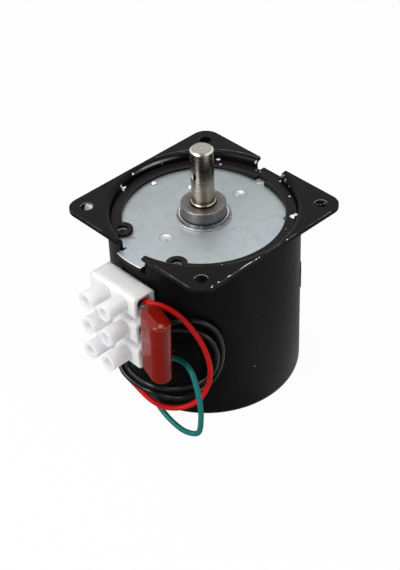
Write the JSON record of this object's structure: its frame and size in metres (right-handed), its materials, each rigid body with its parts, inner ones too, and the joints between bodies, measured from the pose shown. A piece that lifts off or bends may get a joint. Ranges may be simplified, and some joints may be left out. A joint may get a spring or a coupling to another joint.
{
  "type": "ac motor",
  "caption": "AC synchronous gear motor: square flange on a drawn can, output shaft in a bush, terminal block and red capacitor on the side.",
  "frame": {"origin": "centre of the flange's top face, on the axis of the output shaft", "axes": "+Z along the shaft towards its free end, -Y towards the terminal block, X along the block's sleeves with the motor's own leads on +X"},
  "size_m": [0.06, 0.0743, 0.0798],
  "materials": {
    "can_paint": "satin black",
    "zinc_plate": "zinc plated",
    "sintered_steel": "sintered, matt",
    "shaft_steel": "turned",
    "bright_steel": "bright",
    "gear_brass": "machined",
    "plated_brass": "tin plated",
    "white_nylon": "moulded",
    "ferrite": "sintered ferrite",
    "copper": "copper",
    "black_rubber": "matt",
    "board": "laminate",
    "white_plastic": "translucent",
    "grey_foam": "foam",
    "capacitor_red": "dipped, glossy",
    "red_insulation": "insulation",
    "green_insulation": "insulation",
    "black_insulation": "insulation"
  },
  "bodies": {
    "housing": {"motor_can": "can_paint", "clamp_ring": "can_paint", "top_plate": "zinc_plate", "shaft_bush": "sintered_steel", "thrust_washer": "bright_steel", "first_axle": "bright_steel", "second_axle": "bright_steel", "spacer_pillars": "bright_steel", "mid_plate": "zinc_plate", "rotor_axle": "bright_steel", "rotor_clip": "bright_steel", "rotor_washer": "white_nylon", "upper_pole_plate_top": "zinc_plate", "upper_pole_plate_bottom": "zinc_plate", "lower_pole_plate_top": "zinc_plate", "lower_pole_plate_bottom": "zinc_plate", "upper_bobbin": "white_nylon", "lower_bobbin": "white_nylon", "upper_coil": "copper", "lower_coil": "copper", "base_plate": "zinc_plate", "lead_grommet": "black_rubber", "terminal_board": "board", "inner_leads": "black_insulation", "terminal_block": "white_plastic", "terminal_sleeves": "plated_brass", "block_pad": "grey_foam", "capacitor": "capacitor_red", "capacitor_leads": "bright_steel", "wire_ends": "copper", "red_wire": "red_insulation", "green_wire": "green_insulation", "black_wire_outer": "black_insulation", "black_wire_inner": "black_insulation"},
    "output": {"output_shaft": "shaft_steel", "output_gear": "gear_brass"},
    "first_stage": {"first_gear": "white_nylon"},
    "second_stage": {"second_gear": "gear_brass"},
    "rotor": {"rotor_hub": "white_nylon", "rotor_magnet": "ferrite", "rotor_pinion": "gear_brass"},
    "screw_1": {"terminal_screw_1": "bright_steel"},
    "screw_2": {"terminal_screw_2": "bright_steel"},
    "screw_3": {"terminal_screw_3": "bright_steel"},
    "screw_4": {"terminal_screw_4": "bright_steel"},
    "screw_5": {"terminal_screw_5": "bright_steel"},
    "screw_6": {"terminal_screw_6": "bright_steel"}
  },
  "joints": [
    {"name": "output_spin", "type": "hinge", "parent": "housing", "child": "output", "pos_m": [0, 0, 0], "axis": [0, 0, 1], "continuous": true},
    {"name": "second_spin", "type": "hinge", "parent": "housing", "child": "second_stage", "pos_m": [-0.0133, 0.0072, -0.0145], "axis": [0, 0, 1], "continuous": true},
    {"name": "first_spin", "type": "hinge", "parent": "housing", "child": "first_stage", "pos_m": [-0.00241, 0.01237, -0.0175], "axis": [0, 0, 1], "continuous": true},
    {"name": "rotor_spin", "type": "hinge", "parent": "housing", "child": "rotor", "pos_m": [0, 0, -0.039], "axis": [0, 0, 1], "continuous": true},
    {"name": "screw_1_back_off", "type": "slide", "parent": "housing", "child": "screw_1", "axis": [0, -1, 0], "range_m": [0, 0.0024]},
    {"name": "screw_2_back_off", "type": "slide", "parent": "housing", "child": "screw_2", "axis": [0, -1, 0], "range_m": [0, 0.0024]},
    {"name": "screw_3_back_off", "type": "slide", "parent": "housing", "child": "screw_3", "axis": [0, -1, 0], "range_m": [0, 0.0024]},
    {"name": "screw_4_back_off", "type": "slide", "parent": "housing", "child": "screw_4", "axis": [0, -1, 0], "range_m": [0, 0.0024]},
    {"name": "screw_5_back_off", "type": "slide", "parent": "housing", "child": "screw_5", "axis": [0, -1, 0], "range_m": [0, 0.0024]},
    {"name": "screw_6_back_off", "type": "slide", "parent": "housing", "child": "screw_6", "axis": [0, -1, 0], "range_m": [0, 0.0024]}
  ],
  "couplings": [
    {"joint": "second_spin", "follows": "output_spin", "ratio": -2},
    {"joint": "first_spin", "follows": "output_spin", "ratio": 5},
    {"joint": "rotor_spin", "follows": "output_spin", "ratio": -12.5}
  ]
}
